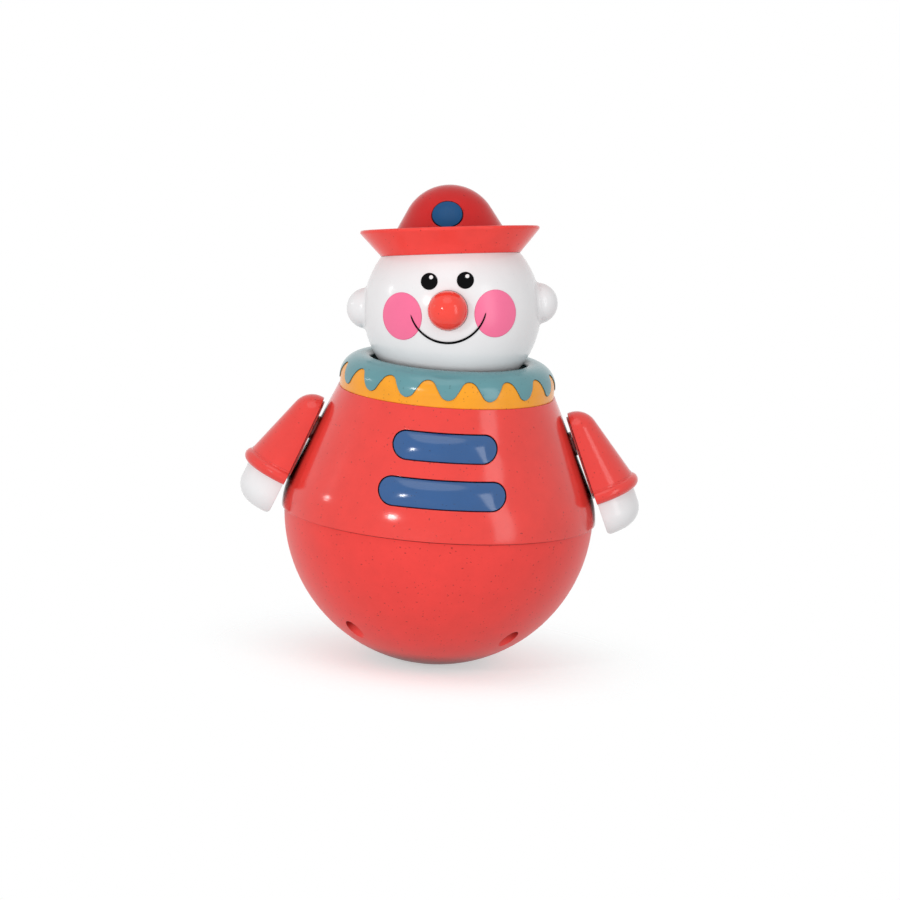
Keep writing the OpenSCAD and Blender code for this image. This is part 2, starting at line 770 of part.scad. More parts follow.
module hat_section() {
    run = [brim_r - hat_r, brim_rise] / norm([brim_r - hat_r, brim_rise]);
    inner = brim_t * [-run.y, run.x];
    low = [hat_r, hat_z];
    rim = [brim_r, hat_z + brim_rise] - brim_t / 2 * [1, 0];
    difference() {
        union() {
            difference() {
                crown_outline(0);
                crown_outline(hat_wall);
            }
            polygon([low, rim - inner / 2, rim + inner / 2, low + inner - brim_t * run]);
            translate(rim) circle(brim_t / 2);
            intersection() {
                crown_outline(hat_wall / 2);
                translate([0, head_r]) square([hat_stem_r, crown_top]);
            }
        }
        circle(head_r + fit);
        square([pilot_r, head_r + short_screw_l - head_wall + pilot_over]);
    }
}

module hat() color(red) at_head() difference() {
    union() {
        rotate_extrude() intersection() {
            hat_section();
            square([2 * brim_r, 2 * crown_top]);
        }
        intersection() {
            at_badge() translate([0, 0, -badge_seat - pad_t])
                cylinder(r = badge_r + pad_rim, h = badge_seat + pad_t);
            rotate_extrude() crown_outline(hat_wall / 2);
        }
    }
    at_badge() translate([0, 0, -badge_seat])
        cylinder(r = badge_r + badge_gap, h = badge_seat + badge_r);
}

module hat_badge() color(blue) at_head() at_badge() intersection() {
    dome_r = badge_dome_share * badge_r;
    translate([0, 0, -badge_seat]) cylinder(r = badge_r, h = badge_seat + badge_out);
    translate([0, 0, badge_out - dome_r]) sphere(dome_r);
}

module hat_screw() color(steel) at_head() translate([0, 0, head_r - head_wall - pole_pad_t])
    screw(short_screw_l);

// The sleeve's solid of revolution about the arm's axis, drawn in by inset and ending at low
module sleeve_form(inset, low) translate([arm_axis_v, 0, 0]) rotate_extrude() {
    bell_outline(sleeve_top_r, sleeve_top_z, cuff_r, -cuff_z, inset);
    translate([0, -low]) square([cuff_r - inset, low - cuff_z + over]);
}

// Everything on the outer side of the arm's flat side
module outside_of(v) translate([v, -2 * cuff_low, -2 * cuff_low]) cube(4 * cuff_low);

// The sleeve's flat outline, drawn in by margin, as a slab between two distances from the pivot's plane
module plate_slab(low, high, margin) translate([low, 0, 0]) rotate([90, 0, 90])
    linear_extrude(high - low) intersection() {
        union() {
            plate_half(margin);
            mirror([1, 0]) plate_half(margin);
        }
        translate([-cuff_r, margin - cuff_low]) square([2 * cuff_r, 2 * cuff_low]);
    }

module plate_half(margin) {
    bell_outline(sleeve_top_r, sleeve_top_z, cuff_r, -cuff_z, margin);
    translate([0, -cuff_low]) square([cuff_r - margin / cos(sleeve_a), cuff_low - cuff_z]);
}

module sleeve() difference() {
    intersection() {
        union() {
            sleeve_form(0, cuff_z + bead_r);
            translate([arm_axis_v, 0, 0]) rotate_extrude()
                translate([cuff_r + bead_out - bead_r, -cuff_z - bead_r]) circle(bead_r);
        }
        outside_of(plate_out);
    }
    plate_slab(0, plate_t + fit, plate_margin - fit);
    intersection() {
        sleeve_form(sleeve_wall, cuff_low + over);
        outside_of(plate_t);
    }
}

module arm_plate() {
    intersection() {
        plate_slab(0, plate_out - fit, plate_rim);
        rotate([0, 90, 0]) cylinder(r = plate_reach, h = plate_out);
    }
    plate_slab(plate_out / 2, plate_t, plate_margin);
    translate([-axle_l, 0, 0]) rotate([0, 90, 0]) difference() {
        cylinder(r = axle_r, h = axle_l + over);
        translate([0, 0, -over]) cylinder(r = pilot_r, h = short_screw_l + over);
    }
}

// Everything beyond the hand's flat side and the round that leads from it to the hand's end
module hand_bounds(end_z) {
    flat = plate_out + hand_set;
    corner = [flat + hand_edge_r, end_z + hand_edge_r - edge_dip];
    translate([0, 2 * hand_r, 0]) rotate([90, 0, 0]) linear_extrude(4 * hand_r) {
        translate(corner) circle(hand_edge_r);
        translate([flat, corner.y]) square([2 * hand_r, 2 * hand_l]);
        translate([corner.x, end_z - hand_edge_r]) square([2 * hand_r, 2 * hand_l]);
    }
}

module hand_block() intersection() {
    end_z = -cuff_low - hand_l;
    translate([arm_axis_v, 0, 0]) rotate_extrude() {
        flat_r = hand_r - hand_round_r;
        translate([0, end_z]) square([flat_r, hand_l]);
        translate([0, end_z + hand_round_r]) square([hand_r, hand_l - hand_round_r]);
        intersection() {
            translate([flat_r, end_z + hand_round_r]) circle(hand_round_r);
            translate([0, end_z]) square([hand_r, hand_l]);
        }
    }
    hand_bounds(end_z);
}

module hand_plug() intersection() {
    translate([arm_axis_v, 0, -cuff_low - over]) cylinder(r = cuff_r, h = hand_plug_l + over);
    sleeve_form(sleeve_wall + fit, 2 * cuff_low);
    outside_of(plate_t + fit);
}

module hand() {
    hand_block();
    hand_plug();
}

module arm_washer() translate([-axle_l - arm_washer_t, 0, 0]) rotate([0, 90, 0]) difference() {
    cylinder(r = arm_washer_r, h = arm_washer_t);
    translate([0, 0, -over]) cylinder(r = shank_r, h = arm_washer_t + 2 * over);
}

module arm_screw() translate([-axle_l - arm_washer_t, 0, 0]) rotate([0, 90, 0]) screw(short_screw_l);

module sleeve_left() color(red) at_arm(1) sleeve();

module sleeve_right() color(red) at_arm(-1) sleeve();

module arm_plate_left() color(red) at_arm(1) arm_plate();

module arm_plate_right() color(red) at_arm(-1) arm_plate();

module hand_left() color(white) at_arm(1) hand();

module hand_right() color(white) at_arm(-1) hand();

module arm_washer_left() color(steel) at_arm(1) arm_washer();

module arm_washer_right() color(steel) at_arm(-1) arm_washer();

module arm_screw_left() color(steel) at_arm(1) arm_screw();

module arm_screw_right() color(steel) at_arm(-1) arm_screw();

bowl();
torso();
ballast();
ballast_screw();
body_screws();
bar_upper();
bar_lower();
collar_band();
collar_frill();
collar_screws();
neck_cup();
neck_stud();
neck_washer();
neck_screw();
head_front();
head_back();
nose();
eye_prints();
eye_glints();
cheek_prints();
smile_print();
hat();
hat_badge();
hat_screw();
sleeve_left();
sleeve_right();
arm_plate_left();
arm_plate_right();
hand_left();
hand_right();
arm_washer_left();
arm_washer_right();
arm_screw_left();
arm_screw_right();
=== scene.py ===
# %% [markdown]
# # Dressing a wobbling clown
#
# The toy is a round weighted bowl under a bell-shaped torso, with a wavy collar, a ball of a head,
# a brimmed hat and two swinging arms. Its shapes and joints come from the CAD model. This lesson
# loads that model, leaves it where it is, and gives it the looks: the camera and the light of the
# photograph, coloured plastics with fine flecks, a printed face and a few soft forms.
#
# Everything is in metres, with +Z up and the face towards -Y.

# %% Load the CAD model
import json
import math

import bmesh
import bpy
from mathutils import Matrix, Vector


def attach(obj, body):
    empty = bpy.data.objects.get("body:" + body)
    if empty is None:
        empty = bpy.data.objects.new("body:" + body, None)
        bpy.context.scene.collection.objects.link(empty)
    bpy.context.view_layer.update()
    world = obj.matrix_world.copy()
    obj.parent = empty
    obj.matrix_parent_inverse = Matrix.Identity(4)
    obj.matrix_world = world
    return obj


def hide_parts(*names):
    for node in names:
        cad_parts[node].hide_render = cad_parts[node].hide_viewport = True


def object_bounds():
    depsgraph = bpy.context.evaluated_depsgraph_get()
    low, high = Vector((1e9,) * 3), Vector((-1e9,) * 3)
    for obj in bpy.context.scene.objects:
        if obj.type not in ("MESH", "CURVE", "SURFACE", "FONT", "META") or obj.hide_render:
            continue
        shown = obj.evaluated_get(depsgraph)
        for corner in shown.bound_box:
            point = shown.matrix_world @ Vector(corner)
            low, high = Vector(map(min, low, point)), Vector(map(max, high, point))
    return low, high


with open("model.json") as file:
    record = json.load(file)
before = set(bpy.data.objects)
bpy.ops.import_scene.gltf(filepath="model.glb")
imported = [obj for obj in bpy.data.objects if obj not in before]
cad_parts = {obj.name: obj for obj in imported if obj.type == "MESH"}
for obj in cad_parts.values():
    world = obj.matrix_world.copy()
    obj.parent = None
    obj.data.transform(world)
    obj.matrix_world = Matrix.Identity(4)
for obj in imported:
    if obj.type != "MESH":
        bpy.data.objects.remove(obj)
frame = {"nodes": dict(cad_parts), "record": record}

cad_low, cad_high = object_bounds()
nodes = frame["nodes"]
MM = 0.001
print("CAD model:", len(nodes), "pieces,", [round(x / MM, 1) for x in cad_high - cad_low], "mm")

# %% [markdown]
# ## The camera
#
# The outline of the bowl is a circle in the photograph, so its middle and its width fix where the
# camera stands once the bowl's real radius is known. The seam's flat oval gives the height of the
# view, and the toy stands a little askew, so the camera rolls instead of the toy. A long lens far
# away keeps the lines nearly parallel, as they are in the photograph.

# %% Place the camera
PHOTO_PX = 900
focal_px = 4126
sensor_mm = 36
bowl_centre = Vector((0, 0, 61.5 * MM))
bowl_centre_px = (438.7, 510.0)
view_distance = 1.659
view_elevation = math.radians(10.93)
view_roll = math.radians(3.87)
view_azimuth = math.radians(-1)


def direction(azimuth, elevation):
    """Points from the object to a place seen from the front, in radians, azimuth towards +X."""
    flat = math.cos(elevation)
    return Vector((math.sin(azimuth) * flat, -math.cos(azimuth) * flat, math.sin(elevation)))


def make_camera():
    """A camera that sees the middle of the bowl at its pixel of the photograph."""
    to_camera = direction(view_azimuth, view_elevation)
    level_right = Vector((math.cos(view_azimuth), math.sin(view_azimuth), 0))
    level_up = to_camera.cross(level_right)
    right = math.cos(view_roll) * level_right + math.sin(view_roll) * level_up
    up = math.cos(view_roll) * level_up - math.sin(view_roll) * level_right
    across = (bowl_centre_px[0] - PHOTO_PX / 2) / focal_px
    above = (PHOTO_PX / 2 - bowl_centre_px[1]) / focal_px
    back = (to_camera + across * right + above * up).normalized()
    right = (right - right.dot(back) * back).normalized()
    up = back.cross(right)
    data = bpy.data.cameras.new("camera")
    data.sensor_width = sensor_mm
    data.lens = sensor_mm * focal_px / PHOTO_PX
    camera = bpy.data.objects.new("camera", data)
    turned = Matrix((right, up, back)).transposed().to_4x4()
    camera.matrix_world = Matrix.Translation(bowl_centre + view_distance * to_camera) @ turned
    bpy.context.scene.collection.objects.link(camera)
    bpy.context.scene.camera = camera
    return camera


camera = make_camera()
print("camera at", [round(x, 3) for x in camera.location], "lens", round(camera.data.lens, 1), "mm")

# %% [markdown]
# ## Helpers for node trees
#
# A material is a small network of nodes. A few helpers keep the recipes short: one fills a socket,
# one adds a node, and two cover the nodes used most, which stretch a range of numbers and mix two
# colours. Numbers that are the same all over a surface go straight onto the shader's own sockets.

# %% Node helpers


def fill_socket(tree, socket, value):
    """Links an output to the socket, or sets the socket to a plain value."""
    if isinstance(value, bpy.types.NodeSocket):
        tree.links.new(value, socket)
    else:
        socket.default_value = value


def add_node(tree, kind, operation=None, **sockets):
    """A new node. Sockets go by name, with _ for a space, or by place, as _0 and _1."""
    node = tree.nodes.new("ShaderNode" + kind)
    if operation:
        node.operation = operation
    for name, value in sockets.items():
        place = name[1:]
        key = int(place) if place.isdigit() else name.replace("_", " ")
        fill_socket(tree, node.inputs[key], value)
    return node


def map_range(tree, value, to_min, to_max, from_min=0, from_max=1, smooth=False):
    """The value, stretched from one range to another and held at the ends."""
    node = add_node(tree, "MapRange", Value=value, From_Min=from_min, From_Max=from_max,
                    To_Min=to_min, To_Max=to_max)
    node.interpolation_type = "SMOOTHSTEP" if smooth else "LINEAR"
    return node.outputs["Result"]


def mix_colours(tree, factor, a, b):
    """Colour a where the factor is 0, and colour b where it is 1."""
    node = tree.nodes.new("ShaderNodeMix")
    node.data_type = "RGBA"
    for name, value in (("Factor", factor), ("A", a), ("B", b)):
        fill_socket(tree, node.inputs[name], value)
    return node.outputs["Result"]


# %% [markdown]
# ## The white world
#
# The toy was photographed against white in soft light. The world is plain white to the camera and
# to reflections, and dimmer as a light, so the background stays white without washing the colours
# out. The Light Path node tells the two kinds of ray apart.

# %% Make the world
ambient_light = 0.5


def seen_white(tree):
    """1 where a ray comes from the camera, a reflection or glass, and 0 for light on surfaces."""
    path = tree.nodes.new("ShaderNodeLightPath").outputs
    seen = add_node(tree, "Math", "MAXIMUM", _0=path["Is Camera Ray"], _1=path["Is Glossy Ray"])
    through = path["Is Transmission Ray"]
    return add_node(tree, "Math", "MAXIMUM", _0=seen.outputs[0], _1=through).outputs[0]


def make_world():
    world = bpy.data.worlds.new("white_studio")
    world.use_nodes = True
    tree = world.node_tree
    background = tree.nodes["Background"]
    background.inputs["Color"].default_value = (1, 1, 1, 1)
    strength = map_range(tree, seen_white(tree), ambient_light, 1)
    tree.links.new(strength, background.inputs["Strength"])
    bpy.context.scene.world = world


bpy.context.scene.view_settings.view_transform = "Standard"
make_world()
print("world: ambient light", ambient_light)

# %% [markdown]
# ## The floor
#
# The toy stands on a white paper sweep that takes only a soft shadow close to the bowl. A disc of
# paper catches that shadow, a little glow lifts it as strong studio light would, and towards its
# rim the disc turns clear, so that no edge shows against the white.

# %% Make the floor
floor_r = 0.12
floor_fade_r = 0.03
floor_lift = 0.5
floor_sides = 64
paper_colour = (0.68, 0.78, 0.78, 1)


def paper_sweep():
    """Paper that glows a little and turns clear towards the floor's rim."""
    material = bpy.data.materials.new("white_sweep")
    material.use_nodes = True
    tree = material.node_tree
    tree.nodes.clear()
    paper = add_node(tree, "BsdfDiffuse", Color=paper_colour)
    glow = add_node(tree, "Emission", Strength=seen_white(tree))
    glow.inputs["Color"].default_value = (floor_lift, floor_lift, floor_lift, 1)
    lit = add_node(tree, "AddShader", _0=paper.outputs[0], _1=glow.outputs[0])
    clear = tree.nodes.new("ShaderNodeBsdfTransparent")
    place = tree.nodes.new("ShaderNodeTexCoord").outputs["Object"]
    reach = add_node(tree, "VectorMath", "LENGTH", _0=place).outputs["Value"]
    fade = map_range(tree, reach, 0, 1, floor_fade_r, floor_r, smooth=True)
    blend = add_node(tree, "MixShader", _0=fade, _1=lit.outputs[0], _2=clear.outputs[0])
    add_node(tree, "OutputMaterial", Surface=blend.outputs[0])
    return material


def make_floor():
    mesh = bpy.data.meshes.new("floor")
    form = bmesh.new()
    bmesh.ops.create_circle(form, cap_ends=True, radius=floor_r, segments=floor_sides)
    form.to_mesh(mesh)
    form.free()
    mesh.materials.append(paper_sweep())
    floor = bpy.data.objects.new("floor", mesh)
    bpy.context.scene.collection.objects.link(floor)
    return floor


floor = make_floor()
print("floor: radius", floor_r, "m")

# %% [markdown]
# ## The lamps
#
# Each highlight on the torso tells where a lamp stands: the surface there faces half way between
# the camera and the lamp. A tall soft box on the right draws the upright pale band, and two small
# round lamps on the left make the white spots. A low, wide lamp in front brightens the undersides,
# and is hidden from reflections, because the photograph shows no gleam of it.

# %% Hang the lamps
aim = Vector((0, 0, (cad_low.z + cad_high.z) / 2))
lamp_rows = (
    # name, azimuth and elevation in degrees, distance, width and height in metres, watts
    ("soft_box_right", 48, 16, 1.3, 0.36, 1.1, 3.0),
    ("lamp_left", -35, 18, 1.3, 0.14, 0.14, 2.2),
    ("lamp_side", -95, 16, 1.3, 0.09, 0.09, 0.5),
    ("soft_top", -20, 70, 1.2, 0.9, 0.9, 2.0),
    ("fill_front", -22, -4, 1.3, 1.0, 0.5, 5.2),
)


def hang_lamp(name, azimuth, elevation, distance, width, height, watts):
    """An area lamp that faces the toy, round where its width and height are equal."""
    data = bpy.data.lights.new(name, "AREA")
    data.shape = "ELLIPSE" if width == height else "RECTANGLE"
    data.size, data.size_y = width, height
    data.energy = watts
    lamp = bpy.data.objects.new(name, data)
    away = direction(math.radians(azimuth), math.radians(elevation))
    lamp.location = aim + distance * away
    lamp.rotation_mode = "QUATERNION"
    lamp.rotation_quaternion = away.to_track_quat("Z", "Y")
    bpy.context.scene.collection.objects.link(lamp)
    return lamp


lamps = {row[0]: hang_lamp(*row) for row in lamp_rows}
lamps["fill_front"].visible_glossy = False
print("lamps:", list(lamps))

# %% [markdown]
# ## Flecks in the plastic
#
# Fine dark flecks lie under the gloss of the photographed toy, as in plastic that is moulded with
# plant fibre in it. A Voronoi texture splits space into small cells. A share of them, picked by
# their random colour, get a dot of their own size, and a noise bends the dots out of round. All of
# it is placed by the object's own coordinates, so it stays on the piece when a joint moves.

# %% The flecks
cell_size = 1.5 * MM
dot_r_low, dot_r_high = 0.16 * MM, 0.48 * MM
bend_scale = 1.6 / cell_size
bend_reach = 1.2 * MM
noise_middle = (0.5, 0.5, 0.5)


def fleck_mask(tree, place, share):
    """1 on the flecks and 0 elsewhere; share is the part of the cells that have a dot."""
    bend = add_node(tree, "TexNoise", Vector=place, Scale=bend_scale, Detail=1)
    sway = add_node(tree, "VectorMath", "SUBTRACT", _0=bend.outputs["Color"], _1=noise_middle)
    bent = add_node(tree, "VectorMath", "MULTIPLY_ADD", _0=sway.outputs[0],
                    _1=(bend_reach, bend_reach, bend_reach), _2=place)
    cells = add_node(tree, "TexVoronoi", Vector=bent.outputs[0], Scale=1 / cell_size)
    pick = add_node(tree, "SeparateColor", Color=cells.outputs["Color"])
    chosen = add_node(tree, "Math", "LESS_THAN", _0=pick.outputs["Red"], _1=share)
    size = map_range(tree, pick.outputs["Green"], dot_r_low / cell_size, dot_r_high / cell_size)
    dot = map_range(tree, cells.outputs["Distance"], 1, 0, from_max=size, smooth=True)
    return add_node(tree, "Math", "MULTIPLY", _0=chosen.outputs[0], _1=dot).outputs[0]


print("flecks:", round(dot_r_low / MM, 2), "to", round(dot_r_high / MM, 2), "mm in radius")

# %% [markdown]
# ## Painted shade in recesses
#
# The slits beside the arms, the seam and the screw wells are darker than soft light alone makes
# them, so shade is painted into them. The Ambient Occlusion node measures how much of the
# surroundings a point sees within a short reach, and the colour is dimmed where that is little.

# %% The recesses
recess_reach = 11 * MM
recess_shade = 0.2
recess_closed, recess_open = 0.1, 0.65
recess_samples = 6


def paint_recess_shade(tree, colour):
    """The colour, dimmed as painted shade where the surface sees little of its surroundings."""
    hollow = add_node(tree, "AmbientOcclusion", Distance=recess_reach)
    hollow.samples = recess_samples
    dim = map_range(tree, hollow.outputs["AO"], recess_shade, 1, recess_closed, recess_open)
    return add_node(tree, "VectorMath", "SCALE", _0=colour, Scale=dim).outputs[0]


print("recesses: down to", recess_shade, "of the colour")

# %% [markdown]
# ## The plastic
#
# Moulded plastic is never quite even: its colour and its gloss wander a little, its skin has a fine
# grain, and every edge is slightly round, because a mould has no perfectly sharp corner. One soft
# noise serves the colour and the gloss, a finer one the grain, and the Bevel node rounds the edges
# in the shading.

# %% The plastic recipe
cloud = {"Scale": 110, "Detail": 6, "Roughness": 0.65}
grain = {"Scale": 900, "Detail": 2}
grain_strength, grain_depth = 0.05, 0.05 * MM
gloss_spread = 0.15
edge_r = 0.4 * MM
plastic_ior = 1.46


def moulded_plastic(name, colour, fleck, share, roughness, mottle=0.11, rounded=True, with_recess_shade=True):
    """A plastic with flecks in a share of the cells; mottle is how far its colour wanders.

    Rounded softens its edges, and the recess flag paints shade into its recesses.
    """
    material = bpy.data.materials.new(name)
    material.use_nodes = True
    tree = material.node_tree
    shader = tree.nodes["Principled BSDF"]
    shader.inputs["IOR"].default_value = plastic_ior
    place = tree.nodes.new("ShaderNodeTexCoord").outputs["Object"]
    wander = add_node(tree, "TexNoise", Vector=place, **cloud).outputs["Fac"]
    tint = map_range(tree, wander, 1 - mottle, 1 + mottle)
    plain = add_node(tree, "VectorMath", "SCALE", _0=colour, Scale=tint).outputs[0]
    flecked = mix_colours(tree, fleck_mask(tree, place, share), plain, (*fleck, 1))
    # Painted shade: the colour is dimmed in the recesses, unless the flag is off.
    shown = paint_recess_shade(tree, flecked) if with_recess_shade else flecked
    tree.links.new(shown, shader.inputs["Base Color"])
    low, high = roughness * (1 - gloss_spread), roughness * (1 + gloss_spread)
    tree.links.new(map_range(tree, wander, low, high), shader.inputs["Roughness"])
    skin = add_node(tree, "TexNoise", Vector=place, **grain).outputs["Fac"]
    bump = add_node(tree, "Bump", Height=skin, Strength=grain_strength, Distance=grain_depth)
    if rounded:
        soft_edge = add_node(tree, "Bevel", Radius=edge_r)
        tree.links.new(soft_edge.outputs["Normal"], bump.inputs["Normal"])
    tree.links.new(bump.outputs["Normal"], shader.inputs["Normal"])
    return material


def set_shader(material, socket, value):
    """Sets one of the shader's own sockets, the same all over the surface."""
    material.node_tree.nodes["Principled BSDF"].inputs[socket].default_value = value


print("plastic: edges rounded by", round(edge_r / MM, 1), "mm")

# %% [markdown]
# ## The reds
#
# The torso and the sleeves are glossy red, and show sharp highlights. The bowl comes from the same
# red, but its highlights are broad and dull, as on a shell from a finely etched mould. The nose is
# brighter and smoother, and has hardly any flecks.

# %% Mix the reds
dark_red = (0.34, 0.024, 0.022)
red_gloss = moulded_plastic("red_gloss", (0.84, 0.050, 0.040), dark_red, 0.4, 0.15)
red_satin = moulded_plastic("red_satin", (0.87, 0.060, 0.052), dark_red, 0.6, 0.38)
set_shader(red_satin, "Specular IOR Level", 0.3)
red_nose = moulded_plastic("red_nose", (0.97, 0.060, 0.040), (0.5, 0.03, 0.03), 0.1, 0.12)
print("reds:", [m.name for m in (red_gloss, red_satin, red_nose)])

# %% [markdown]
# ## Teal, orange and blue
#
# The frill is a greyish teal and the band under it a warm orange, each moulded in its own colour.
# The bars are a polished deep blue with clear highlights. The badge on the hat is the same kind of
# blue, but darker and duller, since it hardly mirrors the lamps.

# %% Mix the other colours
teal_gloss = moulded_plastic("teal_gloss", (0.12, 0.31, 0.345), (0.06, 0.15, 0.16), 0.4, 0.18)
orange_gloss = moulded_plastic("orange_gloss", (0.96, 0.37, 0.008), (0.50, 0.17, 0.01), 0.5, 0.22)
dark_blue = (0.005, 0.03, 0.10)
blue_gloss = moulded_plastic("blue_gloss", (0.008, 0.085, 0.27), dark_blue, 0.4, 0.15)
set_shader(blue_gloss, "Specular IOR Level", 0.75)
blue_badge = moulded_plastic("blue_badge", (0.006, 0.075, 0.21), dark_blue, 0.4, 0.3)
set_shader(blue_badge, "Specular IOR Level", 0.2)
print("colours:", [m.name for m in (teal_gloss, orange_gloss, blue_gloss, blue_badge)])

# %% [markdown]
# ## Whites and inks
#
# The head and the hands are white plastic with barely a fleck, so their colour wanders less
# and no shade is painted into their recesses. The roots of the ears run smoothly into the head, so
# they do without the rounded edges. Eyes, cheeks and smile are pad-printed: thin inks, the black
# one nearly without gloss.

# %% Mix the whites and the inks
# The whites get little mottle and no painted shade in their recesses.
even_unshaded = {"mottle": 0.04, "with_recess_shade": False}
white, off_white = (0.87, 0.86, 0.87), (0.80, 0.79, 0.79)
white_gloss = moulded_plastic("white_gloss", white, off_white, 0.1, 0.2, **even_unshaded)
white_root = moulded_plastic("white_root", white, off_white, 0.1, 0.2, rounded=False, **even_unshaded)
white_ink = moulded_plastic("white_ink", (0.9, 0.9, 0.9), (0.8, 0.8, 0.8), 0.1, 0.3, **even_unshaded)
pink_ink = moulded_plastic("pink_ink", (0.97, 0.17, 0.34), (0.95, 0.15, 0.31), 0.3, 0.25, **even_unshaded)
black, deep_black = (0.002, 0.002, 0.0025), (0.001, 0.001, 0.001)
black_ink = moulded_plastic("black_ink", black, deep_black, 0.2, 0.4)
set_shader(black_ink, "Specular IOR Level", 0.06)
print("whites and inks:", [m.name for m in (white_gloss, white_root, white_ink, pink_ink, black_ink)])

# %% [markdown]
# ## The metals inside
#
# Screws and washers are zinc-plated steel, and the weight is rough cast iron. Both use the same
# recipe: spots and clouds suit plating and castings too. Only the steel is set to metal, because
# the iron's dark skin of scale hardly mirrors.

# %% Mix the metals
steel = moulded_plastic("steel", (0.55, 0.55, 0.55), (0.4, 0.4, 0.4), 0.2, 0.3)
set_shader(steel, "Metallic", 1)
iron = moulded_plastic("iron", (0.06, 0.06, 0.06), (0.03, 0.03, 0.03), 0.5, 0.6)
print("materials so far:", len(bpy.data.materials))

# %% [markdown]
# ## Where the head is
#
# The head is a ball that leans back and to one side on the neck, and is turned a little. One matrix
# takes a point from the head's own upright frame to its place on the toy. It is needed for the hat,
# the ears and the smile.

# %% Find the head
bowl_r, bowl_flat_r, seam_drop = 62 * MM, 8 * MM, 1.2 * MM
seam_z = math.sqrt(bowl_r**2 - bowl_flat_r**2) - seam_drop
torso_h = 50 * MM
head_lift = 32.5444 * MM
head_r = 35.4 * MM
head_z = seam_z + torso_h + head_lift
lean_back, lean_side = 8, 5.4
head_turn = math.radians(-3.4)
lean_angle = math.radians(math.hypot(lean_back, lean_side))
lean = Matrix.Rotation(lean_angle, 4, Vector((-lean_back, -lean_side, 0)))
at_head = Matrix.Translation((0, 0, head_z)) @ lean @ Matrix.Rotation(head_turn, 4, "Z")
print("head: middle at", round(head_z / MM, 1), "mm, leaning", round(math.degrees(lean_angle), 1))

# %% [markdown]
# ## Painted shade on the hat's crown
#
# The crown of the hat gets painted shade: it is made a deeper red than its brim. One recipe serves
# both: the position is turned into the head's own leaning frame, and the distance from the hat's axis
# decides between the two reds, since the brim lies wholly outside the foot of the crown. The painted
# shade is the brim's red times three factors, so that the flecks carry on across it.

# %% The hat's recipe
crown_foot_r = 27.3 * MM
crown_edge_w = 0.3 * MM
brim_red = (0.95, 0.072, 0.060)
crown_shade_factors = (0.67, 0.36, 0.43)


def hat_plastic():
    """The plastic in the brim's red, with shade painted on it deeper inside the foot of the crown."""
    material = moulded_plastic("red_hat", brim_red, dark_red, 0.25, 0.17)
    tree = material.node_tree
    base = tree.nodes["Principled BSDF"].inputs["Base Color"]
    outer = base.links[0].from_socket
    inverse = at_head.inverted()
    place = tree.nodes.new("ShaderNodeTexCoord").outputs["Object"]
    turned = add_node(tree, "Mapping", Vector=place, Location=inverse.translation,
                      Rotation=inverse.to_euler())
    flat = add_node(tree, "VectorMath", "MULTIPLY", _0=turned.outputs["Vector"], _1=(1, 1, 0))
    reach = add_node(tree, "VectorMath", "LENGTH", _0=flat.outputs[0]).outputs["Value"]
    outside = map_range(tree, reach, 0, 1, crown_foot_r - crown_edge_w, crown_foot_r)
    # Painted shade: inside the crown's foot the brim's red is multiplied by the factors.
    shaded_crown = add_node(tree, "VectorMath", "MULTIPLY", _0=outer, _1=crown_shade_factors).outputs[0]
    tree.links.new(mix_colours(tree, outside, shaded_crown, outer), base)
    return material


red_hat = hat_plastic()
set_shader(red_hat, "Specular IOR Level", 0.12)
print("hat: crown foot at", round(crown_foot_r / MM, 1), "mm")

# %% [markdown]
# ## Dressing the CAD pieces
#
# Most pieces already have their true form, so they stay and only get their finish. The record of
# the part names a slot for each piece, and a few pieces have a finish of their own.

# %% Dress the pieces
finishes = {
    "red_satin": red_satin, "red_gloss": red_gloss, "blue_gloss": blue_gloss,
    "orange_gloss": orange_gloss, "teal_gloss": teal_gloss, "white_gloss": white_gloss,
    "black_print": black_ink, "white_print": white_ink, "pink_print": pink_ink,
    "iron": iron, "steel": steel,
}
own_finishes = {"hat": red_hat, "nose": red_nose, "hat_badge": blue_badge}
for row in frame["record"]["subparts"]:
    slots = nodes[row["node"]].data.materials
    slots.clear()
    slots.append(own_finishes.get(row["node"], finishes[row["material_slot"]]))
print("dressed", len(nodes), "pieces")

# %% [markdown]
# ## A mesh from rings
#
# The soft forms that follow are all swept or stacked: a row of rings with equal numbers of points,
# each joined to the next by a band of faces. Smooth shading with sharp edges above an angle keeps
# the round parts round and the corners crisp.

# %% Join rings to a mesh
merge_reach = 1e-6
thinnest = 1e-7
sharp_angle = math.radians(40)


def loft(name, rings, material, closed=False, capped=False):
    """A mesh from rings of points with equal counts, each joined to the next."""
    form = bmesh.new()
    rows = [[form.verts.new(p) for p in ring] for ring in rings]
    pairs = list(zip(rows, rows[1:])) + ([(rows[-1], rows[0])] if closed else [])
    for low, high in pairs:
        for k in range(len(low)):
            n = (k + 1) % len(low)
            form.faces.new((low[k], low[n], high[n], high[k]))
    if capped:
        form.faces.new(rows[0])
        form.faces.new(rows[-1])
    bmesh.ops.remove_doubles(form, verts=form.verts, dist=merge_reach)
    bmesh.ops.dissolve_degenerate(form, edges=form.edges, dist=thinnest)
    bmesh.ops.recalc_face_normals(form, faces=form.faces)
    mesh = bpy.data.meshes.new(name)
    form.to_mesh(mesh)
    form.free()
    mesh.polygons.foreach_set("use_smooth", [True] * len(mesh.polygons))
    mesh.set_sharp_from_angle(angle=sharp_angle)
    mesh.materials.append(material)
    piece = bpy.data.objects.new(name, mesh)
    bpy.context.scene.collection.objects.link(piece)
    return piece


